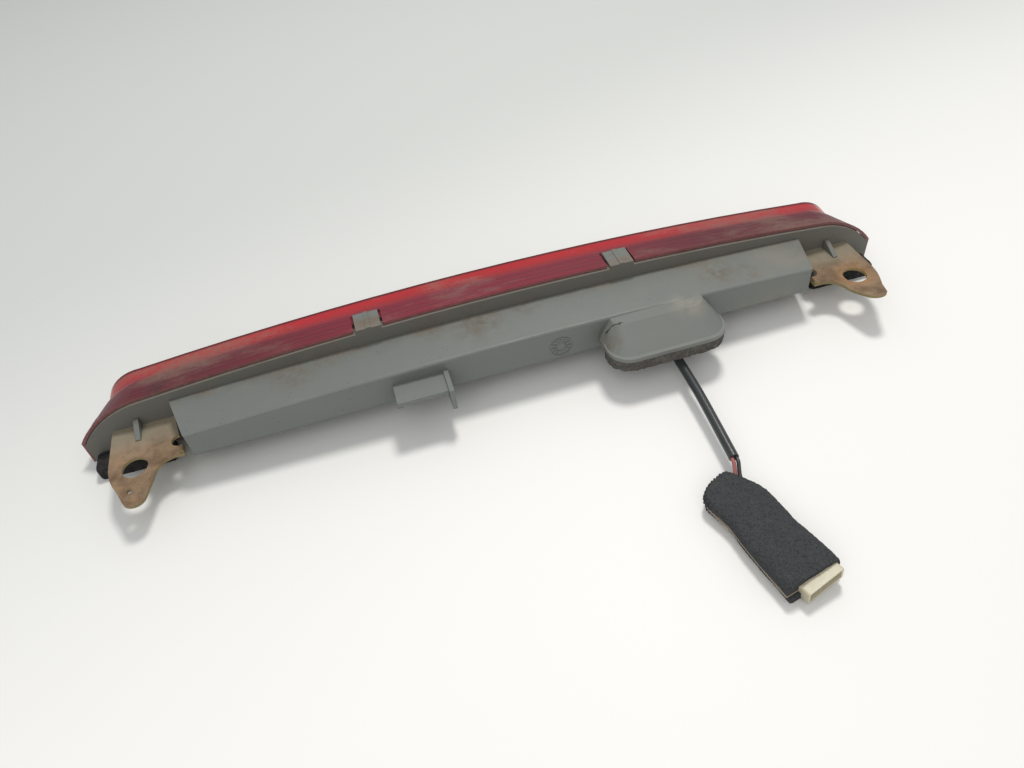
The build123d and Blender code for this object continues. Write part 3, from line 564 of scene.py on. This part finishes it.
def wrap_mesh(name, start, *shape):
    """Closed grid of a foam layer, from its first station at the open end to the root."""
    step = (WRAP_LENGTH - start) / WRAP_STATIONS
    rows = [wrap_row(start + step * i, *shape) for i in range(WRAP_STATIONS + 1)]
    vertices = [WRAP_FRAME @ (Vector(pair[side]) * MM) for side in (0, 1) for row in rows for pair in row]
    width = WRAP_COLUMNS + 1
    top = len(vertices) // 2
    faces = []
    for i in range(WRAP_STATIONS):
        for a in range(i * width, i * width + WRAP_COLUMNS):
            faces.append((a, a + width, a + width + 1, a + 1))
            faces.append((top + a, top + a + 1, top + a + width + 1, top + a + width))
        a, b = i * width, (i + 1) * width
        faces.append((a, top + a, top + b, b))
        a, b = a + WRAP_COLUMNS, b + WRAP_COLUMNS
        faces.append((b, top + b, top + a, a))
    for a in range(WRAP_COLUMNS):
        b = WRAP_STATIONS * width + a
        faces.append((a, a + 1, top + a + 1, top + a))
        faces.append((b, top + b, top + b + 1, b + 1))
    mesh = bpy.data.meshes.new(name)
    mesh.from_pydata(vertices, [], faces)
    mesh.update()
    return mesh


def wrap_layer(name, node, start, low, high, crown, inset):
    """One foam layer: crowned on top, with cut edges and a scalloped root."""
    piece = add_piece(name, wrap_mesh(name, start, low, high, crown, inset))
    even_skin(piece, 0.00036, rounding=2)
    to_wrap = WRAP_FRAME.inverted()
    for vertex in piece.data.vertices:
        x, y, z = to_wrap @ vertex.co / MM
        vertex.co = WRAP_FRAME @ (Vector((*scalloped(x, y), z)) * MM)
    roughen(piece.data, 0.0002, 0.0013, 5.0)
    declare_foam(piece, node, wrap_foam)
    return piece


wrap_lower = wrap_layer("wrap_lower", "foam_wrap_lower", start=-1.4, low=0.0, high=4.5, crown=0.0, inset=1.5)
wrap_upper = wrap_layer("wrap_upper", "foam_wrap_upper", start=0.0, low=4.9, high=9.3, crown=2.2, inset=0.0)


# ---------------------------------------------------------------- room for the picture
TABLE_HALF = 3.0
TABLE_TILT = -0.0044                    # the camera sees the table a quarter of a degree off level
CAMERA_AT = (-0.0520, -0.2727, 0.2677)
CAMERA_TURN = -10.548
CAMERA_DOWN = 45.02
CAMERA_ROLL = -7.825
FOCAL_LENGTH = 27.03                    # mm, on a 36 mm sensor


def floor():
    """Plain pale table top, with painted shade making it greyer away from the camera and to the left."""
    corners = [(-TABLE_HALF, -TABLE_HALF, 0), (TABLE_HALF, -TABLE_HALF, 0),
               (TABLE_HALF, TABLE_HALF, 0), (-TABLE_HALF, TABLE_HALF, 0)]
    mesh = bpy.data.meshes.new("table")
    mesh.from_pydata(corners, [], [(0, 1, 2, 3)])
    look = Look("table", Roughness=0.55, Specular_IOR_Level=0.3)
    tone = look.blend(look.noise(3.0, 3.0, 0.5), (0.80, 0.795, 0.77), (0.83, 0.825, 0.80))
    # Painted shade: the table darkens away from the camera and to the left.
    away = look.math("SUBTRACT", look.axis("y"), look.times(look.axis("x"), 0.35))
    look.colour(look.tint(tone, (0.54, 0.555, 0.535), look.step(away, -0.12, 0.30), 0.9))
    mesh.materials.append(look.material)
    add_piece("table", mesh)


def area_light(name, at, size, power, colour):
    """Round soft light aimed at the middle of the lamp's footprint."""
    light = bpy.data.lights.new(name, "AREA")
    light.shape = "DISK"
    light.size = size
    light.energy = power
    light.color = colour
    lamp = add_piece(name, light)
    lamp.location = at
    lamp.rotation_euler = (-Vector(at)).to_track_quat("-Z", "Y").to_euler()


def soft_surroundings(strength):
    world = bpy.data.worlds.new("world")
    scene.world = world
    world.use_nodes = True
    background = world.node_tree.nodes["Background"]
    background.inputs["Color"].default_value = (0.95, 0.97, 1.0, 1.0)
    background.inputs["Strength"].default_value = strength


def camera():
    """Behind the lamp, looking down at about 45 degrees, with a slight roll."""
    data = bpy.data.cameras.new("camera")
    data.lens = FOCAL_LENGTH
    data.sensor_width = 36.0
    data.clip_start = 0.01
    made = add_piece("camera", data)
    turn, roll = (Matrix.Rotation(radians(angle), 4, "Z") for angle in (CAMERA_TURN, CAMERA_ROLL))
    upright = Matrix.Translation(CAMERA_AT) @ turn @ Matrix.Rotation(radians(90 - CAMERA_DOWN), 4, "X") @ roll
    made.matrix_world = Matrix.Rotation(TABLE_TILT, 4, "Y") @ upright
    scene.camera = made


floor()
area_light("key", at=(0.28, 0.42, 1.30), size=0.30, power=10.8, colour=(1.0, 0.975, 0.94))
area_light("fill", at=(-0.4, -0.9, 0.9), size=1.2, power=5.0, colour=(1.0, 0.98, 0.95))
soft_surroundings(0.56)
scene.view_settings.view_transform = "Standard"
camera()
